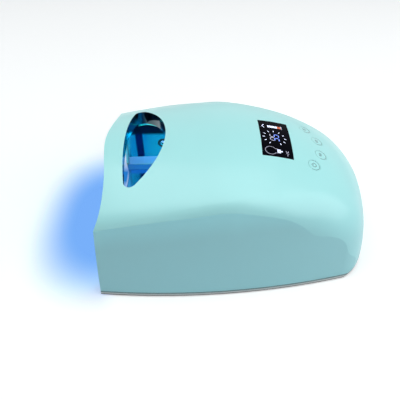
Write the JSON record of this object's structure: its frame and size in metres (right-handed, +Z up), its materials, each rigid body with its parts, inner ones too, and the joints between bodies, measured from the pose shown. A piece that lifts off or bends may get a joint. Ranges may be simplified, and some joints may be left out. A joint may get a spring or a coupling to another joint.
{
  "type": "cordless led nail lamp",
  "caption": "Cordless nail curing lamp: domed shell with a handle bar and finger window, open hand tunnel with mirror liner and LEDs, display, push buttons, battery pack and draw-out tray.",
  "frame": {"origin": "middle of the footprint, on the surface it stands on", "axes": "+Z up, the hand goes in along +Y, the middle plane is X = 0"},
  "size_m": [0.2054, 0.2492, 0.1064],
  "materials": {
    "shell_plastic": "satin gloss mint",
    "button_plastic": "satin gloss mint",
    "base_plastic": "light grey satin",
    "liner_mirror": "plated mirror",
    "tray_mirror": "plated mirror",
    "magnet": "nickel plated",
    "circuit_board": "solder mask",
    "led_lens": "clear domed lens",
    "black_plastic": "moulded",
    "display_black": "polished lens",
    "cradle_plastic": "moulded",
    "cell_wrap": "shrink wrap",
    "screw_steel": "plated",
    "foot_rubber": "matte"
  },
  "bodies": {
    "housing": {"base_frame": "base_plastic", "base_magnets": "magnet", "base_screws": "screw_steel", "battery_cells": "cell_wrap", "battery_clamps": "cradle_plastic", "battery_cradle": "cradle_plastic", "button_board": "circuit_board", "button_switches": "black_plastic", "charge_socket": "black_plastic", "display_board": "circuit_board", "display_module": "black_plastic", "display_window": "display_black", "hand_sensor": "black_plastic", "handle_cover": "shell_plastic", "led_board_left": "circuit_board", "led_board_right": "circuit_board", "led_board_top": "circuit_board", "left_leds": "led_lens", "main_board": "circuit_board", "outer_shell": "shell_plastic", "power_parts": "black_plastic", "reflector_liner": "liner_mirror", "right_leds": "led_lens", "rubber_feet": "foot_rubber", "top_leds": "led_lens"},
    "tray": {"floor_tray": "tray_mirror", "tray_magnets": "magnet"},
    "time_button_30": {"time_button_30": "button_plastic"},
    "time_button_60": {"time_button_60": "button_plastic"},
    "time_button_99": {"time_button_99": "button_plastic"},
    "power_button": {"power_button": "button_plastic"}
  },
  "joints": [
    {"name": "tray_slide", "type": "slide", "parent": "housing", "child": "tray", "axis": [0, -1, 0], "range_m": [0, 0.15]},
    {"name": "time_button_30_press", "type": "slide", "parent": "housing", "child": "time_button_30", "axis": [0, -0.3746, -0.9272], "range_m": [0, 0.0008], "stiffness_N_per_m": 600, "springref_m": -0.0004},
    {"name": "time_button_60_press", "type": "slide", "parent": "housing", "child": "time_button_60", "axis": [0, -0.3746, -0.9272], "range_m": [0, 0.0008], "stiffness_N_per_m": 600, "springref_m": -0.0004},
    {"name": "time_button_99_press", "type": "slide", "parent": "housing", "child": "time_button_99", "axis": [0, -0.3746, -0.9272], "range_m": [0, 0.0008], "stiffness_N_per_m": 600, "springref_m": -0.0004},
    {"name": "power_button_press", "type": "slide", "parent": "housing", "child": "power_button", "axis": [0, -0.3746, -0.9272], "range_m": [0, 0.0008], "stiffness_N_per_m": 600, "springref_m": -0.0004}
  ]
}
